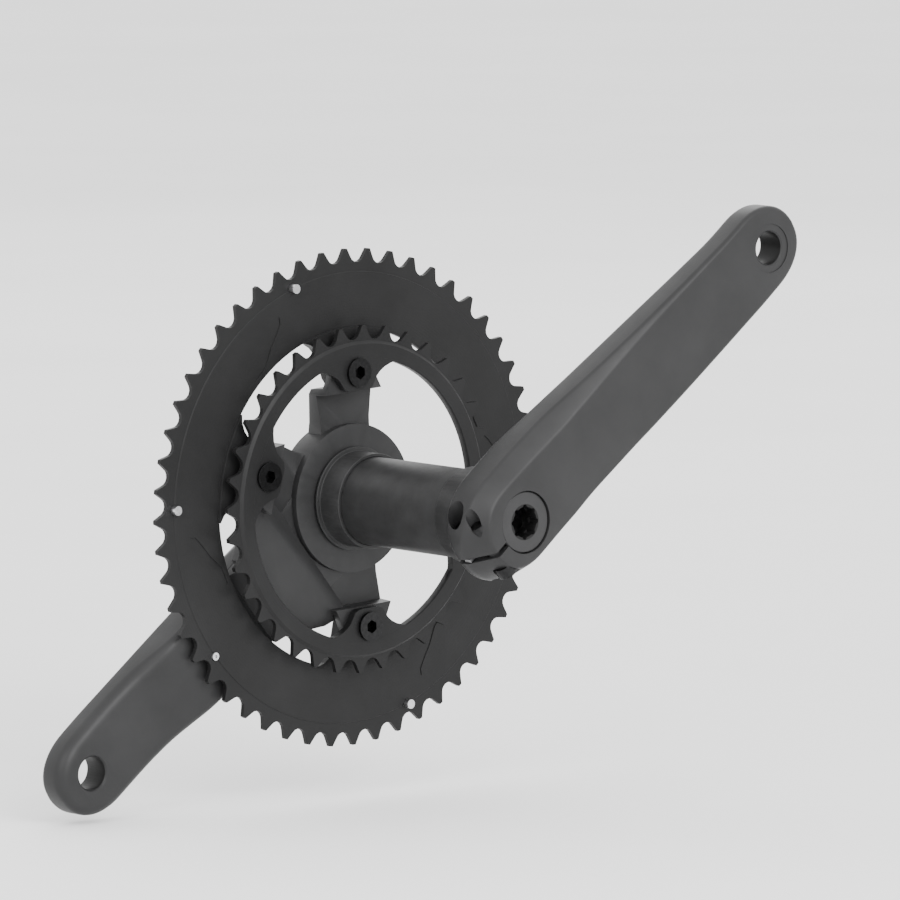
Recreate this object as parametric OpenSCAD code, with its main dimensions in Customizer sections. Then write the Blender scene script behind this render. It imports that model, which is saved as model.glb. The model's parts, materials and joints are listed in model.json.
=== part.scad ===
// Two-piece road crankset in its press-fit bottom bracket.
// Millimetres. +X points forward, +Y to the rider's left, +Z up.
// The origin is the middle of the bottom bracket shell, on the spindle axis.

/* [Crank arms] */
// Distance from the spindle axis to each pedal axis
crank_length = 170; // [140:1:205]
// Distance between the outer faces of the two pedal bosses
q_factor = 148; // [144:1:178]
// Angle of the left arm above straight ahead, in degrees
left_arm_angle = 140.7; // [0:0.1:360]
// Thickness of each pedal boss
boss_t = 13.6; // [11:0.1:16]
// Reach of the arm past the pedal axis
boss_r = 17.6; // [15:0.1:22]
// Half width of the arm near the pedal, on the side that leads when pedalling
lead_w = 19.2; // [16:0.1:23]
// Half width of the arm near the pedal, on the trailing side
trail_w = 17.2; // [14:0.1:21]
// Wall radius of the pedal thread, 9/16 inch by 20
pedal_thread_r = 7.14; // [5.9:0.01:8.6]
// Radius of the machined face round each pedal hole
pedal_face_r = 10.5; // [9.5:0.1:12.6]
// Depth of that machined face
pedal_face_t = 0.4; // [0.2:0.1:0.8]

/* [Left arm clamp] */
// Outer face of both arms at the spindle, measured from the mid plane
hub_face_y = 66; // [64:0.5:70]
// Half width of the clamp
clamp_w = 25; // [22:0.5:30]
// Reach of the clamp behind the spindle axis
clamp_reach = 26.4; // [24:0.1:31]
// Width of the slit that the bolts close
slit_w = 2.4; // [2:0.1:3]
// Distance of the pinch bolts behind the spindle axis
pinch_back = 17.6; // [17:0.1:18.4]
// Distance between the two pinch bolts
pinch_gap = 9.2; // [8.8:0.1:10]
// Shank radius of a pinch bolt
pinch_r = 3; // [2.5:0.1:3.2]
// Head radius of a pinch bolt
pinch_head_r = 4.5; // [3.8:0.1:4.8]
// Head height of a pinch bolt
pinch_head_t = 5; // [4:0.1:6]
// Distance from the slit to the seat of each bolt head
pinch_seat = 8; // [6:0.1:10]

/* [Stopper plate] */
// Thickness of the plate in the slit
stopper_t = 1.6; // [1.2:0.1:1.9]
// Radius of the nose that enters the spindle
stopper_nose_r = 1; // [0.8:0.1:1.2]
// Depth that the nose enters the spindle
stopper_depth = 0.6; // [0.4:0.1:0.8]

/* [Spindle and cap] */
// Outside radius of the spindle
spindle_r = 12; // [10:0.1:12.4]
// Bore radius of the spindle
spindle_bore_r = 9; // [7.5:0.1:10]
// Number of splines at the left end
splines = 16; // [8:1:24]
// Height of a spline
spline_h = 0.6; // [0.4:0.1:0.8]
// Flange radius of the preload cap
cap_r = 13; // [12.6:0.1:15.5]
// Flange thickness of the preload cap
cap_t = 2; // [1.5:0.1:3]
// Depth of the cap's face below the arm's face
cap_sink = 0.7; // [0.3:0.1:1.2]
// Radius of the tool recess in the cap
cap_tool_r = 7.2; // [6:0.1:8]

/* [Chainrings] */
// Chain pitch
pitch = 12.7; // [12:0.1:15.3]
// Teeth on the outer ring
outer_teeth = 52; // [50:1:54]
// Teeth on the inner ring
inner_teeth = 36; // [34:1:37]
// Distance from the mid plane to the outer ring's teeth
outer_plane = 48.7; // [48:0.1:50]
// Distance between the teeth of the two rings
ring_gap = 8.2; // [7.8:0.1:8.6]
// Thickness of the teeth
tooth_t = 2.1; // [1.8:0.1:2.4]
// Height of a tooth's tip above the pitch circle
tip_h = 1.95; // [1.6:0.05:2.6]
// Radius of the valley between two teeth
valley_r = 3.95; // [3.3:0.05:4.5]
// Radius of the chainring bolt circle
bolt_circle_r = 55; // [54:0.5:57]
// Angle from the arm to the nearest chainring bolts, in degrees
bolt_angle = 54; // [50:1:58]
// Shank radius of a chainring bolt
ring_bolt_r = 4; // [3.4:0.1:4.8]
// Head radius of a chainring bolt
ring_bolt_head_r = 6.3; // [5.4:0.1:7.4]
// Height of the raised rim on the outer ring's outboard side
body_bulge = 1.6; // [1:0.1:3]

/* [Bottom bracket] */
// Width of the frame's shell
shell_w = 86.5; // [84:0.5:86.5]
// Radius of the bore in the frame's shell
shell_r = 20.5; // [20.2:0.1:22.5]
// Length of each cup inside the shell
cup_len = 12; // [11:0.5:16]
// Radius of each cup's flange
flange_r = 22.4; // [22.2:0.1:26]
// Thickness of each cup's flange
flange_t = 1.5; // [1:0.1:1.7]
// Outside radius of the bearing
bearing_r = 18.5; // [18.2:0.1:18.6]
// Bore radius of the bearing
bearing_bore_r = 12.5; // [12.4:0.1:12.7]
// Width of the bearing
bearing_w = 7; // [6:0.5:8]
// Number of balls in each bearing
balls = 17; // [12:1:18]
// Ball radius
ball_r = 1.75; // [1.5:0.05:1.8]
// Running clearance between a ball and its race
ball_gap = 0.05; // [0.03:0.01:0.08]

/* [Hidden] */
$fn = 96;
run_gap = 0.05;
far = 400;

right_arm_angle = left_arm_angle - 180;
boss_face_y = q_factor / 2;
boss_inner_y = boss_face_y - boss_t;
// Slope of the arm's outer face starts and ends here, along the arm
slope_a0 = 18;
slope_a1 = crank_length - 16;
face_slope = atan2(boss_face_y - hub_face_y, slope_a1 - slope_a0);

// Bottom bracket stack, from the shell's end outwards
shell_end = shell_w / 2;
flange_face = shell_end + flange_t;
bearing_face = shell_end + 0.7;
bearing_mid = bearing_face - bearing_w / 2;
bearing_back = bearing_face - bearing_w;
cup_shoulder_t = 1.5;
sleeve_stop = bearing_back - cup_shoulder_t;
cup_inner_end = shell_end - cup_len;
sleeve_wall = 1.2;
sleeve_r = shell_r - 1.55;
bush_flange_r = bearing_bore_r + 1.5;
hub_inner_y = flange_face + 0.6;
race_pitch_r = (bearing_r + bearing_bore_r) / 2;
race_half_gap = 0.9;

// Clamp bolts
clamp_mid_y = (hub_inner_y + hub_face_y) / 2 + 0.35;
pinch_in_y = clamp_mid_y - pinch_gap / 2;
pinch_out_y = clamp_mid_y + pinch_gap / 2;
pinch_head_gap = 0.4;
pinch_tip = 14.5;
hex_r = 2.9;

// Stopper plate
stopper_swing_y = 4.6;
stopper_nose_y = pinch_in_y + stopper_swing_y;
stopper_eye_r = pinch_r + 1.5;

// Spindle ends
cap_outer_y = hub_face_y - cap_sink;
cap_inner_y = cap_outer_y - cap_t;
cap_boss_len = 7;
spindle_left_y = cap_inner_y;
spindle_right_y = hub_face_y - 3;
spline_len = 15;

// Chainring planes, as distances outboard of the mid plane
inner_plane = outer_plane - ring_gap;
inner_face = inner_plane - tooth_t / 2 - 1.1;
inner_tab_t = 3.5;
spider_face = inner_face + inner_tab_t;
outer_tab_face = outer_plane - tooth_t / 2 - 2.05;
outer_tab_back = outer_tab_face + 5;
outer_body_face = outer_plane - tooth_t / 2 - 0.4;
outer_body_back = outer_plane + tooth_t / 2 + 0.2;

function pitch_r(n) = pitch / (2 * sin(180 / n));
outer_pitch_r = pitch_r(outer_teeth);
inner_pitch_r = pitch_r(inner_teeth);
outer_rim_r = outer_pitch_r - 7.4;
outer_hole_r = outer_rim_r - 24.8;
inner_rim_r = inner_pitch_r - 5;
inner_hole_r = inner_rim_r - 7.2;
bolt_angles = [bolt_angle, -bolt_angle, 180 - bolt_angle, bolt_angle - 180];

// Pins on the outer ring
pin_r = outer_rim_r - 0.4;
shift_pin_places = [40.7, -69.9, -139.3, 110.1];
shift_pin_r = 2;
drop_pin_r = 1.7;

hub_r = 32;
web_a = 33;
web_face = hub_inner_y + 0.9;
relief_face = web_face + 2.2;
arm_step_y = outer_body_back + body_bulge + 0.7;
tab_wall_r = bolt_circle_r - 8.5;

arm_colour = [0.2, 0.2, 0.21];
ring_colour = [0.13, 0.13, 0.135];
steel_colour = [0.72, 0.72, 0.71];
bolt_colour = [0.16, 0.16, 0.17];
plastic_colour = [0.09, 0.09, 0.1];

// Turns a shape drawn along +Z so that it points along +Y, starting at y
module along_y(y) {
  translate([0, y, 0]) rotate([-90, 0, 0]) children();
}

// Places children on the left side, or mirrored on the drive side
module on_side(side) {
  if (side > 0) children();
  else mirror([0, 1, 0]) children();
}

// A ring about the spindle axis between two distances from the mid plane
module ring(outer, inner, y0, y1) {
  along_y(y0) difference() {
    cylinder(r = outer, h = y1 - y0);
    translate([0, 0, -1]) cylinder(r = inner, h = y1 - y0 + 2);
  }
}

// A solid of revolution about the spindle axis, from points of radius and y
module turned(points) {
  rotate([-90, 0, 0]) rotate_extrude() polygon(points);
}

// --- Bottom bracket ---------------------------------------------------

module bb_cup(side) {
  color(plastic_colour) on_side(side) turned([
    [shell_r, cup_inner_end], [shell_r, shell_end], [flange_r, shell_end],
    [flange_r, flange_face - 0.5], [flange_r - 0.5, flange_face], [bearing_r, flange_face],
    [bearing_r, bearing_back], [bearing_r - 2, bearing_back], [bearing_r - 2, sleeve_stop],
    [sleeve_r + run_gap, sleeve_stop], [sleeve_r + run_gap, cup_inner_end]
  ]);
}

module bb_sleeve() {
  groove_y = cup_inner_end + 2.2;
  color(plastic_colour) difference() {
    ring(sleeve_r, sleeve_r - sleeve_wall, -sleeve_stop, sleeve_stop);
    for (side = [-1, 1]) turned([
      [sleeve_r + 1, side * groove_y - 0.9], [sleeve_r + 1, side * groove_y + 0.9],
      [sleeve_r - 0.6, side * groove_y + 0.9], [sleeve_r - 0.6, side * groove_y - 0.9]
    ]);
  }
}

module sleeve_o_rings() {
  groove_y = cup_inner_end + 2.2;
  color("black") for (side = [-1, 1])
    ring(sleeve_r + run_gap, sleeve_r - 0.6, side * groove_y - 0.6, side * groove_y + 0.6);
}

module race_groove() {
  along_y(bearing_mid) rotate_extrude()
    translate([race_pitch_r, 0]) circle(r = ball_r + ball_gap, $fn = 48);
}

module bearing_outer_race(side) {
  color(steel_colour) on_side(side) difference() {
    ring(bearing_r, race_pitch_r + race_half_gap, bearing_back, bearing_face);
    race_groove();
  }
}

module bearing_inner_race(side) {
  color(steel_colour) on_side(side) difference() {
    ring(race_pitch_r - race_half_gap, bearing_bore_r, bearing_back, bearing_face);
    race_groove();
  }
}

module bearing_balls(side) {
  color(steel_colour) on_side(side) for (i = [0:balls - 1])
    rotate([0, i * 360 / balls, 0]) translate([race_pitch_r, bearing_mid, 0])
      sphere(r = ball_r, $fn = 48);
}

module bearing_cage(side) {
  cage_half = ball_r + 0.45;
  color([0.75, 0.6, 0.35]) on_side(side) difference() {
    ring(race_pitch_r + 0.45, race_pitch_r - 0.45, bearing_mid - cage_half, bearing_mid + cage_half);
    for (i = [0:balls - 1])
      rotate([0, i * 360 / balls, 0]) translate([race_pitch_r - 2, bearing_mid, 0])
        rotate([0, 90, 0]) cylinder(r = ball_r + ball_gap, h = 4, $fn = 48);
  }
}

module bearing_shields(side) {
  shield_t = 0.4;
  color("black") on_side(side) for (y = [bearing_back + 0.1, bearing_face - 0.1 - shield_t])
    ring(race_pitch_r + race_half_gap, race_pitch_r - race_half_gap + 0.1, y, y + shield_t);
}

module dust_cover(side) {
  color("dimgray") on_side(side)
    ring(bearing_r, bush_flange_r + 0.3, bearing_face + 0.1, flange_face - 0.1);
}

module bearing_bush(side) {
  color(plastic_colour) on_side(side) turned([
    [spindle_r + run_gap, bearing_back], [bearing_bore_r, bearing_back],
    [bearing_bore_r, bearing_face], [bush_flange_r, bearing_face],
    [bush_flange_r, hub_inner_y], [spindle_r + run_gap, hub_inner_y]
  ]);
}

// --- Spindle, bolts and cap -------------------------------------------

// The grooves between the splines, from y0 to y1; a gap makes them smaller all round
module spline_grooves(y0, y1, gap) {
  width = PI * spindle_r / splines - 2 * gap;
  for (i = [0:splines - 1]) rotate([0, i * 360 / splines, 0])
    translate([spindle_r - spline_h + gap, y0, -width / 2]) cube([5, y1 - y0, width]);
}

module spindle() {
  color(steel_colour) difference() {
    ring(spindle_r, spindle_bore_r, -spindle_right_y, spindle_left_y);
    spline_grooves(spindle_left_y - spline_len, spindle_left_y + 1, 0);
    rotate([0, -left_arm_angle, 0]) translate([-spindle_r - 1, stopper_nose_y, 0])
      rotate([0, 90, 0]) cylinder(r = stopper_nose_r + 0.9, h = stopper_depth + 1.3);
  }
}

module preload_cap() {
  notch = 1.1;
  color([0.17, 0.17, 0.18]) along_y(0) difference() {
    union() {
      translate([0, 0, cap_inner_y]) cylinder(r = cap_r, h = cap_t - 0.5);
      translate([0, 0, cap_outer_y - 0.5]) cylinder(r1 = cap_r, r2 = cap_r - 0.5, h = 0.5);
      translate([0, 0, cap_inner_y - cap_boss_len])
        cylinder(r = spindle_bore_r, h = cap_boss_len + 0.5);
    }
    translate([0, 0, cap_inner_y - cap_boss_len - 1])
      cylinder(r = cap_tool_r - 0.7, h = cap_boss_len + cap_t + 2);
    for (i = [0:7]) rotate(i * 45) translate([cap_tool_r - 0.9, 0, cap_outer_y - 5])
      cylinder(r = notch, h = 6, $fn = 24);
  }
}

// A pinch bolt lying along local Z, with its head at the top
module pinch_bolt() {
  difference() {
    union() {
      translate([0, 0, -pinch_tip])
        cylinder(r = pinch_r, h = pinch_tip + pinch_seat + 0.5, $fn = 48);
      translate([0, 0, pinch_seat]) cylinder(r = pinch_head_r, h = pinch_head_t, $fn = 48);
    }
    translate([0, 0, pinch_seat + pinch_head_t - 3]) cylinder(r = hex_r, h = 4, $fn = 6);
  }
}

// Puts children at both pinch bolts of the left arm; the heads face opposite ways
module at_pinch_bolts() {
  rotate([0, -left_arm_angle, 0]) {
    translate([-pinch_back, pinch_in_y, 0]) rotate([180, 0, 0]) children();
    translate([-pinch_back, pinch_out_y, 0]) children();
  }
}

module clamp_bolts() {
  color(bolt_colour) at_pinch_bolts() pinch_bolt();
}

// --- Stopper plate ----------------------------------------------------

module stopper_plate() {
  finger_w = 2.4;
  tail_len = clamp_reach - pinch_back - 1;
  nose_a = -spindle_r + stopper_depth;
  color("dimgray") rotate([0, -left_arm_angle, 0]) difference() {
    union() {
      translate([-pinch_back, pinch_in_y, -stopper_t / 2])
        cylinder(r = stopper_eye_r, h = stopper_t, $fn = 64);
      translate([-pinch_back - tail_len, pinch_in_y - 1.8, -stopper_t / 2])
        cube([tail_len, 3.6, stopper_t]);
      translate([-pinch_back, pinch_in_y, -stopper_t / 2]) linear_extrude(stopper_t) polygon([
        [0, 3.2], [-spindle_r - 2.2 + pinch_back, stopper_swing_y],
        [-spindle_r - 1 + pinch_back, stopper_swing_y + finger_w / 3],
        [-spindle_r - 0.35 + pinch_back, stopper_swing_y + finger_w / 2],
        [-spindle_r - 0.35 + pinch_back, stopper_swing_y - finger_w / 2], [3.5, 0]
      ]);
      translate([-spindle_r - 2, stopper_nose_y, 0]) rotate([0, 90, 0])
        cylinder(r = stopper_nose_r, h = nose_a + spindle_r + 2, $fn = 48);
    }
    translate([-pinch_back, pinch_in_y, -5]) cylinder(r = pinch_r + 0.1, h = 10, $fn = 64);
  }
}

// --- Crank arms -------------------------------------------------------

// Outline of an arm seen along the spindle. The arm runs along +X, leading side down.
module arm_outline(end_lead, end_trail, end_points) {
  near = crank_length - 16;
  corner = 14.8;
  polygon(concat(
    end_points,
    [[23, end_trail - 1.6], [50, trail_w + 1.6], [90, trail_w + 0.5], [near, trail_w]],
    [for (a = [75:-15:0]) [crank_length + boss_r - corner + corner * cos(a),
      trail_w - corner + corner * sin(a)]],
    [for (a = [0:-15:-75]) [crank_length + boss_r - corner + corner * cos(a),
      -lead_w + corner + corner * sin(a)]],
    [[near, -lead_w], [90, -lead_w - 0.6], [50, -lead_w - 1.8], [23, -end_lead + 1.8]]
  ));
}

// Side view of an arm, along the arm and outboard, between its inner and outer faces
module arm_profile(inner_points) {
  polygon(concat(
    [[-clamp_reach - 34, hub_face_y - 40], [-clamp_reach + 6, hub_face_y],
     [slope_a0, hub_face_y], [slope_a1, boss_face_y], [crank_length + 40, boss_face_y],
     [crank_length + 40, boss_inner_y]],
    inner_points
  ));
}

// The slanting faces along an arm's outer edges
module edge_bevel(lead) {
  turn = lead ? 1 : -1;
  translate([90, hub_face_y + 72 * tan(face_slope) - 0.6, -turn * (lead ? lead_w : trail_w)])
    rotate([-turn * 40, 0, lead ? 4.6 : 4.2]) translate([-far / 2, 0, -60]) cube([far, 60, 120]);
}

// The flat-sided blank shared by both arms, on the left side, with the arm along +X
module arm_blank(outline_end, inner_points, end_lead, end_trail) {
  difference() {
    intersection() {
      rotate([90, 0, 0]) translate([0, 0, -150]) linear_extrude(150)
        arm_outline(end_lead, end_trail, outline_end);
      translate([0, 0, -60]) linear_extrude(120) arm_profile(inner_points);
    }
    edge_bevel(true);
    edge_bevel(false);
  }
}

// The sealed hollow of a forged arm, from a0 along the arm to just short of the pedal boss
module arm_cavity(a0, inner_y0, half_w) {
  a1 = crank_length - 24;
  wall = 3.6;
  outer_y = function(a) hub_face_y + (a - slope_a0) * tan(face_slope) - wall;
  intersection() {
    rotate([90, 0, 0]) translate([0, 0, -120]) linear_extrude(120)
      polygon([[a0, -half_w], [a1, wall - lead_w], [a1, trail_w - wall], [a0, half_w]]);
    translate([0, 0, -60]) linear_extrude(120) polygon([
      [a0, inner_y0], [a0, outer_y(a0) - 0.4], [a1, outer_y(a1)], [a1, boss_inner_y + wall - 0.8]]);
  }
}

module pedal_hole() {
  translate([crank_length, 0, 0]) {
    along_y(boss_inner_y - 20) cylinder(r = pedal_thread_r, h = boss_t + 40);
    along_y(boss_face_y - pedal_face_t) cylinder(r = pedal_face_r, h = 10);
  }
}

// The clamp end narrows outboard: a cone about the spindle, carried on along the arm by two planes
module clamp_dome() {
  lean = 21;
  foot_y = hub_inner_y + 6.5;
  foot_r = clamp_reach + 0.6;
  depth = 18;
  height = 60;
  along_y(foot_y - depth) cylinder(r1 = foot_r + depth * tan(lean),
    r2 = foot_r - (height - depth) * tan(lean), h = height);
  intersection() {
    translate([0, 0, -100]) cube([2 * far, 100, 200]);
    for (turn = [0, 1]) mirror([0, 0, turn]) translate([0, foot_y, foot_r])
      rotate([-lean, 0, 0]) rotate([0, -6, 0]) translate([-far, -far, -100])
        cube([2 * far, 2 * far, 100]);
  }
}

module left_crank_arm() {
  clamp_end = [for (a = [-90:-15:-270]) [clamp_reach * cos(a),
    (a < -180 ? clamp_w - 1.6 : clamp_w) * sin(a)]];
  inner_line = [[crank_length - 18, boss_inner_y], [26, hub_inner_y + 1], [20, hub_inner_y],
    [-60, hub_inner_y]];
  color(arm_colour) rotate([0, -left_arm_angle, 0]) difference() {
    intersection() {
      arm_blank(clamp_end, inner_line, clamp_w, clamp_w - 1.6);
      clamp_dome();
    }
    pedal_hole();
    difference() {
      along_y(hub_inner_y - 10) cylinder(r = spindle_r + run_gap, h = 60);
      rotate([0, left_arm_angle, 0])
        spline_grooves(spindle_left_y - spline_len + 0.5, spindle_left_y + 5, run_gap);
    }
    along_y(cap_inner_y) cylinder(r = cap_r + 0.3, h = 20);
    arm_cavity(34, hub_inner_y + 5.4, 13.5);
    translate([-60, hub_inner_y - 10, -slit_w / 2]) cube([60, 60, slit_w]);
    for (turn = [0, 1]) translate([-pinch_back, turn ? pinch_out_y : pinch_in_y, 0])
      rotate([turn ? 0 : 180, 0, 0]) {
        translate([0, 0, -60]) cylinder(r = pinch_r + 0.2, h = 120, $fn = 48);
        translate([0, 0, pinch_seat]) cylinder(r = pinch_head_r + pinch_head_gap, h = 60, $fn = 48);
      }
  }
}

module spider_arm(angle) {
  tip_r = bolt_circle_r + 9.5;
  rotate([0, -angle, 0]) intersection() {
    rotate([90, 0, 0]) translate([0, 0, -100]) linear_extrude(100) polygon([
      [0, -13], [34, -13.6], [tab_wall_r, -15.4], [tab_wall_r + 5, -13], [tip_r, -8],
      [tip_r, 8], [tab_wall_r + 5, 13], [tab_wall_r, 15.4], [34, 13.6], [0, 13]
    ]);
    translate([0, 0, -60]) linear_extrude(120) polygon([
      [0, relief_face + 0.3], [tab_wall_r - 0.4, relief_face + 0.3], [tab_wall_r, spider_face],
      [tip_r + 1, spider_face], [tip_r + 1, outer_tab_face], [tab_wall_r + 2.6, outer_tab_face],
      [tab_wall_r + 2, outer_tab_back + 2.5], [hub_r - 4, outer_tab_back + 7], [0, outer_tab_back + 7]
    ]);
  }
}

module right_crank_arm() {
  round_end = [for (a = [240:-15:120]) [24 * cos(a), 24 * sin(a)]];
  tip_r = outer_pitch_r + tip_h;
  inner_line = [[crank_length - 22, boss_inner_y], [crank_length - 36, boss_inner_y - 0.9],
    [crank_length - 48, boss_inner_y - 3], [tip_r + 4, arm_step_y + 1.4], [tip_r - 5, arm_step_y],
    [outer_hole_r - 5, arm_step_y], [outer_hole_r - 11, web_face], [web_a, web_face],
    [web_a, relief_face], [-60, relief_face]];
  color(arm_colour) mirror([0, 1, 0]) rotate([0, -right_arm_angle, 0]) difference() {
    union() {
      arm_blank(round_end, inner_line, 25, 24);
      rotate([90, 0, 0]) translate([0, 0, -outer_tab_back - 2])
        linear_extrude(outer_tab_back + 2 - web_face) polygon([
          [web_a, -33.5], [40, -34], [46, -32], [52, -28], [62, -22],
          [62, 22], [52, 28], [46, 32], [40, 34], [web_a, 33.5]
        ]);
      along_y(hub_inner_y) cylinder(r = hub_r, h = hub_face_y - 8 - hub_inner_y);
      for (angle = bolt_angles) spider_arm(angle);
    }
    pedal_hole();
    arm_cavity(76, arm_step_y + 3.5, 13.5);
    along_y(hub_inner_y - 10) cylinder(r = spindle_r, h = spindle_right_y - hub_inner_y + 10);
    along_y(spindle_right_y - 1) cylinder(r = spindle_bore_r, h = 20);
    for (angle = bolt_angles) rotate([0, -angle, 0]) translate([bolt_circle_r, 0, 0])
      along_y(30) cylinder(r = ring_bolt_r + 0.15, h = 60);
  }
}

// --- Chainrings -------------------------------------------------------

// Tooth outline: n teeth, with phase 0.5 putting a valley on the arm's line
module sprocket_outline(n, phase) {
  pr = pitch_r(n);
  step = 360 / n;
  half_tip = 0.8;
  polygon([for (i = [0:n - 1]) let (mid = (i + phase) * step) each concat(
    [for (a = [-66:22:66]) let (x = pr - valley_r * cos(a), z = valley_r * sin(a))
      [x * cos(mid) - z * sin(mid), x * sin(mid) + z * cos(mid)]],
    [for (side = [-1, 1]) let (turn = mid + step / 2 + side * half_tip / pr * 180 / PI)
      [(pr + tip_h) * cos(turn), (pr + tip_h) * sin(turn)]]
  )]);
}

// Bolt tabs: the inner reach of a ring at each bolt, with a hollow curve out to the ring's hole
module ring_tabs(hole_r, tip_r, tip_w, root_w) {
  root_x = sqrt(pow(hole_r + 0.9, 2) - pow(root_w, 2));
  from = [tip_r + 3.2, tip_w + 1.4];
  root = [root_x, root_w];
  bend = [root_x - 1.3, tip_w + 4.4];
  half = concat([[tip_r, tip_w - 2.6], [tip_r + 1, tip_w]],
    [for (t = [0:0.2:1]) pow(1 - t, 2) * from + 2 * t * (1 - t) * bend + t * t * root],
    [root + 0.3 * (root - bend), [root_x + 5, root_w - 4]]);
  for (angle = bolt_angles) rotate(-angle)
    polygon(concat(half, [for (i = [len(half) - 1:-1:0]) [half[i][0], -half[i][1]]]));
}

module at_ring_bolts() {
  for (angle = bolt_angles) rotate(-angle) translate([bolt_circle_r, 0]) children();
}

// Draws a ring's part flat on the drive side, with the arm along +X, between two planes
module drive_plate(y0, y1) {
  rotate([0, -right_arm_angle, 0]) mirror([0, 1, 0]) along_y(y0) linear_extrude(y1 - y0) children();
}

module outer_chainring() {
  color(ring_colour) difference() {
    union() {
      drive_plate(outer_plane - tooth_t / 2, outer_plane + tooth_t / 2) difference() {
        sprocket_outline(outer_teeth, 0);
        circle(r = outer_hole_r + 2);
      }
      mirror([0, 1, 0]) turned([
        [outer_hole_r, outer_body_face], [outer_rim_r - 0.7, outer_body_face],
        [outer_rim_r, outer_plane - 0.5], [outer_rim_r, outer_body_back],
        [outer_rim_r - 3, outer_body_back + body_bulge], [outer_hole_r + 5, outer_body_back + body_bulge],
        [outer_hole_r, outer_body_back]
      ]);
      drive_plate(outer_tab_face, outer_tab_back) intersection() {
        ring_tabs(outer_hole_r, tab_wall_r + 3, 9, 24);
        difference() {
          circle(r = outer_hole_r + 0.6);
          circle(r = tab_wall_r);
        }
      }
    }
    drive_plate(30, 70) at_ring_bolts() circle(r = ring_bolt_r, $fn = 48);
    for (place = shift_pin_places) drive_plate(30, 70) rotate(-place) translate([pin_r, 0])
      circle(r = shift_pin_r, $fn = 32);
    drive_plate(30, 70) translate([pin_r, 0]) circle(r = drop_pin_r, $fn = 32);
    drive_plate(outer_body_face - 1, outer_body_face + 0.35) shift_ramps();
  }
}

module inner_chainring() {
  color(ring_colour) difference() {
    union() {
      drive_plate(inner_plane - tooth_t / 2, inner_plane + tooth_t / 2) difference() {
        sprocket_outline(inner_teeth, 0.5);
        circle(r = inner_hole_r + 2);
      }
      mirror([0, 1, 0]) turned([
        [inner_hole_r, inner_face + 0.4], [inner_hole_r + 0.4, inner_face],
        [inner_rim_r - 0.9, inner_face], [inner_rim_r + 0.6, inner_plane - tooth_t / 2 + 0.2],
        [inner_rim_r + 0.6, inner_plane + 0.5], [inner_rim_r, spider_face], [inner_hole_r, spider_face]
      ]);
      drive_plate(inner_face + run_gap, spider_face - run_gap)
        ring_tabs(inner_hole_r, bolt_circle_r - 8, 7.6, 22);
    }
    drive_plate(30, 60) at_ring_bolts() circle(r = ring_bolt_r + 0.15, $fn = 48);
  }
}

module chainring_bolts() {
  head_t = 1.4;
  color(bolt_colour) difference() {
    union() {
      drive_plate(inner_face, outer_tab_back - 0.4) at_ring_bolts() circle(r = ring_bolt_r, $fn = 48);
      drive_plate(inner_face - head_t, inner_face) at_ring_bolts()
        circle(r = ring_bolt_head_r, $fn = 64);
    }
    drive_plate(inner_face - head_t - 1, inner_face + 3) at_ring_bolts() circle(r = hex_r, $fn = 6);
  }
}

module shift_pins() {
  color(steel_colour) {
    for (place = shift_pin_places) drive_plate(outer_body_face - 2.6, outer_body_back)
      rotate(-place) translate([pin_r, 0]) circle(r = shift_pin_r, $fn = 32);
  }
}

module chain_drop_pin() {
  color(steel_colour) difference() {
    drive_plate(outer_body_face - 0.5, arm_step_y - 0.3)
      translate([pin_r, 0]) circle(r = drop_pin_r, $fn = 32);
    drive_plate(outer_body_face - 1, outer_body_face + 0.6)
      translate([pin_r, 0]) circle(r = 0.7, $fn = 32);
  }
}

// Shallow slanting cuts that help the chain climb
module shift_ramps() {
  w = 0.8;
  curve = [[2, -1.3], [2.1, -9], [5.6, -16.7], [7.1, -22], [9, -27.4], [11.4, -29.1]];
  for (place = [14, -96, 194, 84]) rotate(-place) translate([outer_hole_r, 0])
    polygon(concat(curve, [for (i = [5:-1:0]) curve[i] + [w, w / 4]]));
}

bb_cup(-1);  // bb_cup_drive
bb_cup(1);  // bb_cup_left
bb_sleeve();
sleeve_o_rings();
bearing_outer_race(-1);  // bearing_outer_race_drive
bearing_outer_race(1);  // bearing_outer_race_left
bearing_shields(-1);  // bearing_shields_drive
bearing_shields(1);  // bearing_shields_left
dust_cover(-1);  // dust_cover_drive
dust_cover(1);  // dust_cover_left
bearing_inner_race(-1);  // bearing_inner_race_drive
bearing_inner_race(1);  // bearing_inner_race_left
bearing_bush(-1);  // bearing_bush_drive
bearing_bush(1);  // bearing_bush_left
bearing_balls(-1);  // bearing_balls_drive
bearing_balls(1);  // bearing_balls_left
bearing_cage(-1);  // bearing_cage_drive
bearing_cage(1);  // bearing_cage_left
spindle();
right_crank_arm();
left_crank_arm();
outer_chainring();
inner_chainring();
chainring_bolts();
clamp_bolts();
preload_cap();
stopper_plate();
shift_pins();
chain_drop_pin();
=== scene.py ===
import json
import math

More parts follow.
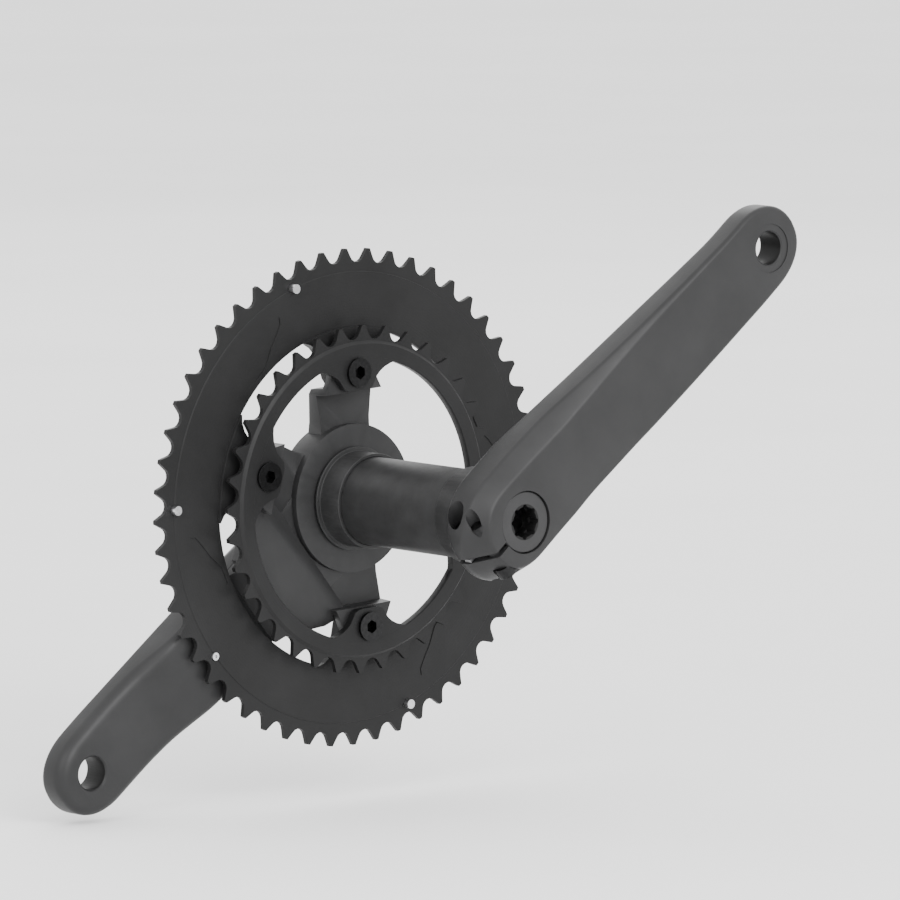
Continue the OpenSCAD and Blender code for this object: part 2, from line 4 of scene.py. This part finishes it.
import bmesh
import bpy
import numpy as np
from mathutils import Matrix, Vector


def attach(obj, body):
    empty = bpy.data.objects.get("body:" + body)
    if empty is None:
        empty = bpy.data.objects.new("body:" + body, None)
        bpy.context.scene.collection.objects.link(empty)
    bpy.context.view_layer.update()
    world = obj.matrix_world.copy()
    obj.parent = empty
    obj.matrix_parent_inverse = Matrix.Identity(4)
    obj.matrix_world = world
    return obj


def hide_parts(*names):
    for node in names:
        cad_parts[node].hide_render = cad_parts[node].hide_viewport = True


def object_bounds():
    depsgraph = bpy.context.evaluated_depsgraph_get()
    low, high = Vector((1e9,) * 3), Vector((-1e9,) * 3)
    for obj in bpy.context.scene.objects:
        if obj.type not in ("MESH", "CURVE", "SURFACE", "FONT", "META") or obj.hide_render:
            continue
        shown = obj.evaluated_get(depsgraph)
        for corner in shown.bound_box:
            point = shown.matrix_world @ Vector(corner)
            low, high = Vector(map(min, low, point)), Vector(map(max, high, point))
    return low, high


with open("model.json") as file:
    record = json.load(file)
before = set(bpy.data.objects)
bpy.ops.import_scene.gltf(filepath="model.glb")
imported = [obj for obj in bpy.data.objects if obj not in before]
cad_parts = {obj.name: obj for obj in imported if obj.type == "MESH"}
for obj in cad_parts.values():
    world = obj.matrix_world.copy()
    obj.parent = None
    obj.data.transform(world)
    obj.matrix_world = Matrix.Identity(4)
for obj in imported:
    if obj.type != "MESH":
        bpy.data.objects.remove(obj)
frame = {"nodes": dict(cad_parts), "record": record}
CAD_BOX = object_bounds()
NODES = frame["nodes"]

# --- Camera -----------------------------------------------------------

AZIMUTH = math.radians(41.05)
ELEVATION = math.radians(6.62)
CAMERA_PLACE = (2.4793, 2.8646, 0.4644)
camera_data = bpy.data.cameras.new("camera")
camera_data.lens = 360
camera_data.sensor_width = 36
camera_data.clip_end = 50
camera = bpy.data.objects.new("camera", camera_data)
camera.location = CAMERA_PLACE
look = Vector((-math.sin(AZIMUTH) * math.cos(ELEVATION),
               -math.cos(AZIMUTH) * math.cos(ELEVATION), -math.sin(ELEVATION)))
camera.rotation_euler = look.to_track_quat("-Z", "Y").to_euler()
bpy.context.scene.collection.objects.link(camera)
bpy.context.scene.camera = camera


# --- Materials --------------------------------------------------------

# Painted shade: the near-black colour painted inside bores, where shade falls
PAINTED_HOLLOW_SHADE = (0.004, 0.004, 0.004, 1)
# Where the left pedal hole's axis is, and the radius round it painted with shade, in metres
PEDAL_X, PEDAL_Z, PEDAL_SHADE_R = -0.13155, 0.10768, 0.00716
# The radius of painted shade in the preload cap's centre, in metres
CAP_SHADE_R = 0.0076


class Nodes:
    """A small helper that adds and links shader nodes."""

    def __init__(self, name):
        self.material = bpy.data.materials.new(name)
        self.material.use_nodes = True
        self.tree = self.material.node_tree
        self.shader = self.tree.nodes["Principled BSDF"]
        self.coords = self.add("ShaderNodeTexCoord").outputs["Object"]

    def add(self, kind, **values):
        node = self.tree.nodes.new(kind)
        for key, value in values.items():
            if hasattr(node, key):
                setattr(node, key, value)
            else:
                node.inputs[key.replace("_", " ")].default_value = value
        return node

    def link(self, a, b):
        self.tree.links.new(a, b)

    def noise(self, scale, detail=3.0, stretch=None, rough=0.55):
        source = self.coords
        if stretch:
            mapping = self.add("ShaderNodeMapping")
            mapping.inputs["Scale"].default_value = stretch
            self.link(source, mapping.inputs["Vector"])
            source = mapping.outputs["Vector"]
        node = self.add("ShaderNodeTexNoise", Scale=scale, Detail=detail, Roughness=rough)
        self.link(source, node.inputs["Vector"])
        return node.outputs["Fac"]

    def ramp(self, source, stops):
        node = self.add("ShaderNodeValToRGB")
        elements = node.color_ramp.elements
        while len(elements) < len(stops):
            elements.new(0.5)
        for element, (place, colour) in zip(elements, stops):
            element.position = place
            element.color = (*colour, 1)
        self.link(source, node.inputs["Fac"])
        return node.outputs["Color"]

    def spread(self, source, low, high):
        node = self.add("ShaderNodeMapRange")
        node.inputs["To Min"].default_value = low
        node.inputs["To Max"].default_value = high
        self.link(source, node.inputs["Value"])
        return node.outputs["Result"]

    def bumps(self, layers):
        """layers holds (height source, strength, distance in metres), coarse to fine."""
        normal = None
        for source, strength, distance in layers:
            bump = self.add("ShaderNodeBump", Strength=strength, Distance=distance)
            self.link(source, bump.inputs["Height"])
            if normal:
                self.link(normal, bump.inputs["Normal"])
            normal = bump.outputs["Normal"]
        self.link(normal, self.shader.inputs["Normal"])


def anodised(name, dark, light, rough, metallic, turned=0.0, shaded_hollows=()):
    """A satin finish: fine grain, faint cloudiness, and turning marks if asked.
    The last argument holds (x, z, radius) in metres: a bore along the spindle's direction, with painted
    shade (a near-black colour) inside."""
    n = Nodes(name)
    cloud = n.noise(38, 4)
    colour = n.ramp(cloud, [(0.32, dark), (0.7, light)])
    # Painted shade: inside each listed bore the colour is mixed to near-black
    for x, z, radius in shaded_hollows:
        flat = n.add("ShaderNodeVectorMath", operation="MULTIPLY")
        flat.inputs[1].default_value = (1, 0, 1)
        n.link(n.coords, flat.inputs[0])
        away = n.add("ShaderNodeVectorMath", operation="DISTANCE")
        away.inputs[1].default_value = (x, 0, z)
        n.link(flat.outputs["Vector"], away.inputs[0])
        in_painted_shade = n.add("ShaderNodeMath", operation="LESS_THAN")
        in_painted_shade.inputs[1].default_value = radius
        n.link(away.outputs["Value"], in_painted_shade.inputs[0])
        mix = n.add("ShaderNodeMix", data_type="RGBA")
        n.link(in_painted_shade.outputs["Value"], mix.inputs["Factor"])
        n.link(colour, mix.inputs[6])
        mix.inputs[7].default_value = PAINTED_HOLLOW_SHADE
        colour = mix.outputs[2]
    n.link(colour, n.shader.inputs["Base Color"])
    n.shader.inputs["Metallic"].default_value = metallic
    n.shader.inputs["Specular IOR Level"].default_value = 0.2
    n.link(n.spread(n.noise(160, 5), rough - 0.05, rough + 0.06), n.shader.inputs["Roughness"])
    layers = [(n.noise(900, 2), 0.12, 0.0002), (n.noise(5200, 2, rough=0.7), 0.2, 0.00006)]
    if turned:
        waves = n.add("ShaderNodeTexWave", wave_type="RINGS", rings_direction="Y", Scale=turned,
                      Distortion=0.4, Detail=1.0)
        n.link(n.coords, waves.inputs["Vector"])
        layers.append((waves.outputs["Fac"], 0.16, 0.00006))
    n.bumps(layers)
    return n.material


def steel(name, dark, light, rough, stretch=(1, 1, 1)):
    n = Nodes(name)
    grain = n.noise(700, 4, stretch)
    n.link(n.ramp(grain, [(0.3, dark), (0.75, light)]), n.shader.inputs["Base Color"])
    n.shader.inputs["Metallic"].default_value = 1.0
    shine = n.spread(n.noise(300, 3, stretch), rough - 0.06, rough + 0.08)
    n.link(shine, n.shader.inputs["Roughness"])
    n.bumps([(grain, 0.15, 0.00005), (n.noise(2600, 2), 0.1, 0.00003)])
    return n.material


def plastic(name, dark, light, rough, sheen=0.0):
    n = Nodes(name)
    n.link(n.ramp(n.noise(120, 3), [(0.3, dark), (0.72, light)]), n.shader.inputs["Base Color"])
    n.link(n.spread(n.noise(420, 3), rough - 0.05, rough + 0.05), n.shader.inputs["Roughness"])
    n.shader.inputs["Sheen Weight"].default_value = sheen
    n.shader.inputs["Specular IOR Level"].default_value = 0.3
    n.bumps([(n.noise(1500, 3), 0.22, 0.00012), (n.noise(5000, 2), 0.15, 0.00004)])
    return n.material


def grey(value, tint=1.02):
    return (value, value, value * tint)


MATERIALS = {
    # The arms' pedal holes get painted shade inside
    "arm_alloy": anodised("satin_grey_anodising", grey(0.021), grey(0.027), 0.42, 0.25,
                          shaded_hollows=[(PEDAL_X, PEDAL_Z, PEDAL_SHADE_R), (-PEDAL_X, -PEDAL_Z, PEDAL_SHADE_R)]),
    "ring_alloy": anodised("black_anodising", grey(0.009), grey(0.013), 0.46, 0.2, turned=260),
    "cup_plastic": plastic("cup_plastic", grey(0.012), grey(0.02), 0.5),
    "cover_plastic": plastic("cover_plastic", grey(0.035), grey(0.05), 0.45),
    # The preload cap's centre gets painted shade
    "cap_plastic": anodised("cap_plastic", grey(0.022), grey(0.03), 0.46, 0.0,
                            shaded_hollows=[(0, 0, CAP_SHADE_R)]),
    "cage_plastic": plastic("cage_plastic", (0.42, 0.3, 0.12), (0.5, 0.37, 0.17), 0.5),
    "seal_rubber": plastic("seal_rubber", grey(0.012), grey(0.02), 0.7, sheen=0.1),
    "bearing_steel": steel("bearing_steel", grey(0.52), grey(0.66), 0.2),
    "spindle_steel": steel("spindle_steel", grey(0.2), grey(0.28), 0.36, (1, 0.05, 1)),
    "bolt_steel": steel("bolt_steel", grey(0.018), grey(0.03), 0.38),
    "stopper_steel": steel("stopper_steel", grey(0.22), grey(0.3), 0.4),
    "pin_steel": steel("pin_steel", grey(0.5), grey(0.66), 0.28),
}

for part in frame["record"]["subparts"]:
    piece = NODES[part["node"]]
    piece.data.materials.clear()
    piece.data.materials.append(MATERIALS[part["material_slot"]])



def soften(piece, width, angle=30):
    """Welds the mesh and rounds its sharp edges, in modifiers. The width is in millimetres."""
    weld = piece.modifiers.new("weld", "WELD")
    weld.merge_threshold = 1e-6
    bevel = piece.modifiers.new("bevel", "BEVEL")
    bevel.width = width / 1000
    bevel.segments = 2
    bevel.limit_method = "ANGLE"
    bevel.angle_limit = math.radians(angle)
    bevel.use_clamp_overlap = True
    bevel.harden_normals = True


# Softened edges on the parts kept from the CAD, in millimetres
EDGES = {
    "outer_chainring": 0.3, "inner_chainring": 0.3, "bb_cup_drive": 0.3, "bb_cup_left": 0.3,
    "chainring_bolts": 0.25, "clamp_bolts": 0.35, "preload_cap": 0.25, "shift_pins": 0.3,
    "chain_drop_pin": 0.2, "spindle": 0.3,
}
for name, width in EDGES.items():
    soften(NODES[name], width, angle=32)

# --- Left arm ---------------------------------------------------------
# A smooth forging in place of the flat-sided CAD arm, measured in millimetres:
# a runs along the arm, s towards its leading side, y outboard.

ARM_ANGLE = math.radians(140.7)
LENGTH = 170.0
# Places along the arm's straight stretch, and on each of its rounded ends
BODY_STATIONS = 44
END_STEPS = 16
# Points round the inboard edge: the first turn and the turn between two, in degrees
INNER_EDGE_POINTS = 5
INNER_EDGE_FROM, INNER_EDGE_STEP = 20, 17.5
# How far the side wall and the outer face run past the slanting face's soft corners
WALL_RUN = 1.1
FACE_RUN = 0.9
# How square the pedal end is: 1 is round, and less is squarer
TIP_POWER = 0.9

# The radii of the bores, and the heights where their wider ends lie
PEDAL_R = 7.14
PEDAL_FACE_R, PEDAL_FACE_Y = 10.5, 73.6
CHAMFER_IN_R, CHAMFER_OUT_R = 7.1, 8.3
CHAMFER_IN_Y, CHAMFER_OUT_Y = 72.9, 74.1
LEFT_BORE_R = 12.06
CAP_SEAT_R, CAP_SEAT_Y = 13.3, 63.3
SLIT_HALF = 1.2
# The pinch bolts' axes, their holes, and the wider ends that start at PINCH_SEAT_S
PINCH_BACK = 17.6
PINCH_IN, PINCH_OUT = 51.425, 60.625
PINCH_IN_R, PINCH_OUT_R = 3.2, 2.7
PINCH_IN_SEAT_R, PINCH_OUT_SEAT_R = 4.7, 4.9
PINCH_SEAT_S = 8


def along(keys):
    """A smooth curve through (a, value) keys."""
    xs = np.array([k[0] for k in keys], float)
    ys = np.array([k[1] for k in keys], float)
    slopes = np.diff(ys) / np.diff(xs)
    inner = np.where(slopes[:-1] * slopes[1:] > 0,
                     2 * slopes[:-1] * slopes[1:] / (slopes[:-1] + slopes[1:] + 1e-12), 0)
    tangents = np.concatenate([[slopes[0]], inner, [slopes[-1]]])

    def value(a):
        a = min(max(a, xs[0]), xs[-1])
        i = min(int(np.searchsorted(xs, a, side="right")) - 1, len(xs) - 2)
        h = xs[i + 1] - xs[i]
        t = (a - xs[i]) / h
        return (ys[i] * (1 + 2 * t) * (1 - t) ** 2 + tangents[i] * h * t * (1 - t) ** 2
                + ys[i + 1] * t * t * (3 - 2 * t) + tangents[i + 1] * h * t * t * (t - 1))
    return value


def to_world(a, s, y, angle=ARM_ANGLE, side=1):
    c, n = math.cos(angle), math.sin(angle)
    return Vector(((a * c + s * n) / 1000, side * y / 1000, (a * n - s * c) / 1000))


def bend(p0, p1, p2, count=4):
    """Points of a soft corner from p0 to p2 round the corner p1."""
    points = []
    for k in range(count):
        t = k / (count - 1)
        points.append(tuple((1 - t) ** 2 * x + 2 * t * (1 - t) * y + t * t * z
                            for x, y, z in zip(p0, p1, p2)))
    return points


def forged_arm(name, shape, angle, side):
    """A closed arm. shape gives, by name, curves along the arm: lead and trail half widths,
    inner and outer faces, and the width and depth of the slanting face on each side."""
    outline = []
    tip, tail, power = shape["tip"], shape["tail"], shape["tail_power"]
    for k in range(END_STEPS):
        turn = math.pi / 2 * k / END_STEPS
        outline.append((-tail * math.cos(turn) ** power, math.sin(turn) ** power))
    outline += [(a, 1.0) for a in np.linspace(0, shape["round_from"], BODY_STATIONS)]
    for k in range(1, END_STEPS + 1):
        turn = math.pi / 2 * k / END_STEPS
        reach = (tip - shape["round_from"]) * math.sin(turn) ** TIP_POWER
        outline.append((shape["round_from"] + reach, max(math.cos(turn), 0) ** TIP_POWER))
    stations = len(outline)
    loop = [(a, shape["lead"](a) * f, "lead", f) for a, f in outline]
    loop += [(a, -shape["trail"](a) * f, "trail", f) for a, f in outline[-2:0:-1]]
    total = len(loop)
    rows = []
    for i, (a, s, part, f) in enumerate(loop):
        before, after = loop[i - 1], loop[(i + 1) % total]
        run, rise = after[0] - before[0], after[1] - before[1]
        size = math.hypot(run, rise)
        inward = (rise / size, -run / size)
        width, depth = shape[part + "_width"](a), shape[part + "_depth"](a)
        if a < 0:
            blend = f * f * (3 - 2 * f)
            width = shape["end_width"] + (width - shape["end_width"]) * blend
            depth = shape["end_depth"] + (depth - shape["end_depth"]) * blend
        round_in = shape["inner_round"](a)
        if part == "trail" and "trail_round" in shape:
            round_in += (shape["trail_round"](a) - round_in) * min(1, 2 * f)
        soft = min(0.9, 0.4 * width)
        down = depth * soft / max(width, 0.1)
        column = [(round_in, 0, 0)]
        for k in range(INNER_EDGE_POINTS):
            turn = math.radians(INNER_EDGE_FROM + INNER_EDGE_STEP * k)
            column.append((round_in * (1 - math.sin(turn)), round_in * (1 - math.cos(turn)), 0))
        column += [(x, y, 1) for x, y in
                   bend((0, -depth - WALL_RUN), (0, -depth), (soft, -depth + down))]
        column += [(x, y, 1) for x, y in
                   bend((width - soft, -down), (width, 0), (width + FACE_RUN, 0))]
        points = []
        for inset, height, top in column:
            pa, ps = a + inward[0] * inset, s + inward[1] * inset
            face = shape["outer"](pa) if top else shape["inner"](pa)
            points.append(to_world(pa, ps, face + height, angle, side))
        rows.append(points)
    bm = bmesh.new()
    grid = [[bm.verts.new(p) for p in row] for row in rows]
    levels = len(grid[0])
    for i in range(total):
        j = (i + 1) % total
        for k in range(levels - 1):
            bm.faces.new((grid[i][k], grid[j][k], grid[j][k + 1], grid[i][k + 1]))
    for level in (0, levels - 1):
        for i in range(stations - 1):
            far_side = [(total - i) % total, (total - i - 1) % total]
            corners = [grid[i][level], grid[i + 1][level],
                       grid[far_side[1]][level], grid[far_side[0]][level]]
            unique = list(dict.fromkeys(corners))
            if len(unique) > 2:
                bm.faces.new(unique)
    bmesh.ops.recalc_face_normals(bm, faces=bm.faces)
    return mesh_object(name, bm)


def mesh_object(name, bm):
    data = bpy.data.meshes.new(name)
    bm.to_mesh(data)
    bm.free()
    made = bpy.data.objects.new(name, data)
    bpy.context.scene.collection.objects.link(made)
    return made


def round_cutter(rims):
    """A closed cutter between two rims, each a list of points."""
    bm = bmesh.new()
    near, far = ([bm.verts.new(p) for p in rim] for rim in rims)
    for i in range(len(near)):
        j = (i + 1) % len(near)
        bm.faces.new((near[i], near[j], far[j], far[i]))
    bm.faces.new(near)
    bm.faces.new(far)
    bmesh.ops.recalc_face_normals(bm, faces=bm.faces)
    return mesh_object("cutter", bm)


def drill(a, s, y0, y1, r0, r1=None, angle=ARM_ANGLE, side=1):
    """A cutter along the spindle's direction, r0 at y0 and r1 at y1."""
    r1 = r0 if r1 is None else r1
    turns = np.linspace(0, 2 * math.pi, 96, endpoint=False)
    return round_cutter([
        [to_world(a + r * math.cos(t), s + r * math.sin(t), y, angle, side) for t in turns]
        for y, r in ((y0, r0), (y1, r1))])


def drill_across(a, y, s0, s1, r):
    """A cutter across the left arm, from s0 to s1."""
    turns = np.linspace(0, 2 * math.pi, 48, endpoint=False)
    return round_cutter([
        [to_world(a + r * math.cos(t), s, y + r * math.sin(t)) for t in turns] for s in (s0, s1)])


def block(a0, a1, s0, s1, y0, y1, angle=ARM_ANGLE, side=1):
    """A box-shaped cutter."""
    bm = bmesh.new()
    corner = [bm.verts.new(to_world(a, s, y, angle, side))
              for a in (a0, a1) for s in (s0, s1) for y in (y0, y1)]
    for face in ((0, 1, 3, 2), (4, 5, 7, 6), (0, 1, 5, 4), (2, 3, 7, 6), (0, 2, 6, 4), (1, 3, 7, 5)):
        bm.faces.new([corner[i] for i in face])
    bmesh.ops.recalc_face_normals(bm, faces=bm.faces)
    return mesh_object("cutter", bm)


def cut_away(body, tools):
    """Cuts the tools out one after another, and keeps the result as the body's mesh."""
    for tool in tools:
        cut = body.modifiers.new("cut", "BOOLEAN")
        cut.operation = "DIFFERENCE"
        cut.solver = "EXACT"
        cut.object = tool
        bpy.context.view_layer.update()
        evaluated = body.evaluated_get(bpy.context.evaluated_depsgraph_get())
        result = bpy.data.meshes.new_from_object(evaluated)
        body.modifiers.clear()
        old = body.data
        body.data = result
        bpy.data.meshes.remove(old)
        data = tool.data
        bpy.data.objects.remove(tool)
        bpy.data.meshes.remove(data)


def shade_smooth(piece):
    piece.data.polygons.foreach_set("use_smooth", [True] * len(piece.data.polygons))


LEFT = {
    "tail": 26.3, "tip": LENGTH + 17.6, "round_from": 164.5, "tail_power": 0.87,
    "lead": along([(-27, 25.4), (0, 25.3), (18, 25.1), (30, 24.8), (48, 24.0), (62, 23.2), (84, 22.2),
                   (110, 21.1), (135, 20.0), (163, 19.2), (190, 19.2)]),
    "trail": along([(-27, 23.9), (0, 23.6), (20, 22.4), (36, 20.2), (50, 18.9), (70, 18.0), (108, 17.8),
                    (150, 17.5), (190, 17.3)]),
    "inner": along([(-60, 45.35), (17, 45.35), (26, 46.1), (40, 47.8), (90, 53.4), (140, 59.0),
                    (152, 60.2), (160, 60.4), (200, 60.4)]),
    "outer": along([(-60, 66), (12, 66), (24, 66.5), (60, 68.5), (140, 73.2), (156, 73.95), (164, 74),
                    (200, 74)]),
    "lead_width": along([(-27, 6.9), (0, 6.9), (18, 7.3), (38, 7.2), (52, 6.2), (66, 5.0), (80, 3.9),
                         (100, 2.7), (125, 1.8), (150, 1.3), (190, 1.1)]),
    "lead_depth": along([(-27, 6.2), (18, 6.4), (38, 6.3), (52, 5.2), (66, 3.9), (80, 2.9), (100, 2.0),
                         (125, 1.6), (190, 1.3)]),
    "trail_width": along([(-27, 7.2), (0, 7.0), (20, 5.9), (36, 4.4), (50, 3.0), (72, 1.9), (110, 1.5),
                          (190, 1.4)]),
    "trail_depth": along([(-27, 15), (0, 15), (20, 12), (40, 8), (60, 4.6), (80, 2.6), (110, 2.0),
                          (190, 1.6)]),
    "inner_round": along([(-27, 2.2), (20, 2.4), (40, 3.7), (190, 3.6)]),
    "end_width": 6.3, "end_depth": 15.0,
}
left_arm = forged_arm("left_arm_forging", LEFT, ARM_ANGLE, 1)
# The spindle's bore, the cap's seat, the pedal hole, the clamp's slit, and each pinch bolt's hole
# followed by its wider end
cut_away(left_arm, [
    drill(0, 0, 40, 70, LEFT_BORE_R),
    drill(0, 0, CAP_SEAT_Y, 70, CAP_SEAT_R),
    drill(LENGTH, 0, 50, 80, PEDAL_R),
    drill(LENGTH, 0, PEDAL_FACE_Y, 78, PEDAL_FACE_R),
    drill(LENGTH, 0, CHAMFER_IN_Y, CHAMFER_OUT_Y, CHAMFER_IN_R, CHAMFER_OUT_R),
    block(-40, 0, -SLIT_HALF, SLIT_HALF, 35, 80),
    drill_across(-PINCH_BACK, PINCH_IN, -60, 60, PINCH_IN_R),
    drill_across(-PINCH_BACK, PINCH_OUT, -60, 60, PINCH_OUT_R),
    drill_across(-PINCH_BACK, PINCH_IN, PINCH_SEAT_S, 60, PINCH_IN_SEAT_R),
    drill_across(-PINCH_BACK, PINCH_OUT, -60, -PINCH_SEAT_S, PINCH_OUT_SEAT_R),
])
soften(left_arm, 0.3)
shade_smooth(left_arm)
left_arm.data.materials.clear()
left_arm.data.materials.append(MATERIALS["arm_alloy"])
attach(left_arm, "crankset")
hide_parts("left_crank_arm")

# --- Right arm --------------------------------------------------------
# A copy of the CAD hub and spider, cut off at HUB_CUT_Y, and a smooth forging outboard of it.
# Near the hub the two lie in each other, and they stay two closed shells in one mesh.

RIGHT = dict(LEFT)
RIGHT.update({
    "tail": 24.2,
    "lead": along([(-27, 25.2), (0, 25.1), (23, 23.6), (50, 21.6), (88, 21.2), (112, 20.9), (130, 20.2),
                   (154, 19.7), (190, 19.2)]),
    "trail": along([(-27, 24.3), (0, 24.2), (23, 22.6), (50, 19.1), (88, 18.0), (150, 17.4), (190, 17.3)]),
    "inner": along([(-60, 55), (70, 55), (90, 52.2), (100, 52.2), (108, 52.9), (120, 56.0), (132, 58.9),
                    (146, 60.2), (156, 60.4), (200, 60.4)]),
    "inner_round": along([(-60, 0.6), (80, 0.6), (100, 2.6), (120, 3.8), (190, 3.8)]),
    "trail_round": along([(-60, 0.6), (84, 0.6), (104, 3.4), (125, 5.4), (190, 5.4)]),
    "end_width": 5.0, "end_depth": 7.0,
})
RIGHT_ANGLE = ARM_ANGLE - math.pi
PRESS_BORE_R, PRESS_BORE_END = 12.02, 63.02
BACK_CHAMFER_IN_R, BACK_CHAMFER_OUT_R = 8.2, 7.1
BACK_CHAMFER_IN_Y, BACK_CHAMFER_OUT_Y = 60, 61.2
SPINDLE_HOLLOW_R = 9.0
# The CAD copy is kept inboard of HUB_CUT_Y and no further along the arm than SPIDER_END
HUB_CUT_Y = 58.2
SPIDER_END = 88
right_arm = forged_arm("right_arm_forging", RIGHT, RIGHT_ANGLE, -1)
cut_away(right_arm, [
    drill(0, 0, 40, PRESS_BORE_END, PRESS_BORE_R, angle=RIGHT_ANGLE, side=-1),
    drill(0, 0, 60, 80, SPINDLE_HOLLOW_R, angle=RIGHT_ANGLE, side=-1),
    drill(LENGTH, 0, 50, 80, PEDAL_R, angle=RIGHT_ANGLE, side=-1),
    drill(LENGTH, 0, PEDAL_FACE_Y, 78, PEDAL_FACE_R, angle=RIGHT_ANGLE, side=-1),
    drill(LENGTH, 0, CHAMFER_IN_Y, CHAMFER_OUT_Y, CHAMFER_IN_R, CHAMFER_OUT_R,
          angle=RIGHT_ANGLE, side=-1),
    drill(LENGTH, 0, BACK_CHAMFER_IN_Y, BACK_CHAMFER_OUT_Y, BACK_CHAMFER_IN_R, BACK_CHAMFER_OUT_R,
          angle=RIGHT_ANGLE, side=-1),
])
spider = bpy.data.objects.new("spider", NODES["right_crank_arm"].data.copy())
bpy.context.scene.collection.objects.link(spider)
cut_away(spider, [
    block(SPIDER_END, 260, -80, 80, 20, 110, angle=RIGHT_ANGLE, side=-1),
    block(-90, 120, -90, 90, HUB_CUT_Y, 110, angle=RIGHT_ANGLE, side=-1),
])
joined = bmesh.new()
joined.from_mesh(right_arm.data)
joined.from_mesh(spider.data)
joined.to_mesh(right_arm.data)
joined.free()
spider_data = spider.data
bpy.data.objects.remove(spider)
bpy.data.meshes.remove(spider_data)
soften(right_arm, 0.8, angle=32)
shade_smooth(right_arm)
right_arm.data.materials.clear()
right_arm.data.materials.append(MATERIALS["arm_alloy"])
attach(right_arm, "crankset")
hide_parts("right_crank_arm")

# --- Stage ------------------------------------------------------------

FLOOR_GAP = 0.002
BACKDROP_STRENGTH = 2.0

floor_mesh = bpy.data.meshes.new("floor")
bm = bmesh.new()
bmesh.ops.create_grid(bm, x_segments=1, y_segments=1, size=8)
bm.to_mesh(floor_mesh)
bm.free()
floor = bpy.data.objects.new("floor", floor_mesh)
floor.location = (0, 0, CAD_BOX[0][2] - FLOOR_GAP)
bpy.context.scene.collection.objects.link(floor)
floor_look = Nodes("floor_paper")
floor_look.link(floor_look.ramp(floor_look.noise(3), [(0.3, grey(0.86, 1)), (0.7, grey(0.9, 1))]),
                floor_look.shader.inputs["Base Color"])
floor_look.shader.inputs["Roughness"].default_value = 0.9
floor_mesh.materials.append(floor_look.material)

world = bpy.data.worlds.new("world")
world.use_nodes = True
backdrop = world.node_tree.nodes["Background"]
backdrop.inputs["Color"].default_value = (1, 1, 1, 1)
backdrop.inputs["Strength"].default_value = BACKDROP_STRENGTH
bpy.context.scene.world = world


def area_light(name, place, size, power):
    """A square light at place, aimed at the origin. The size is in metres, the power in watts."""
    data = bpy.data.lights.new(name, "AREA")
    data.size = size
    data.energy = power
    light = bpy.data.objects.new(name, data)
    light.location = place
    light.rotation_euler = (-Vector(place)).to_track_quat("-Z", "Y").to_euler()
    bpy.context.scene.collection.objects.link(light)


area_light("key", (0.3, 2.3, 1.2), 1.4, 62)
area_light("fill", (2.2, 0.9, 1.4), 1.2, 22)
area_light("back", (-1.6, -1.4, 1.4), 1.6, 12)
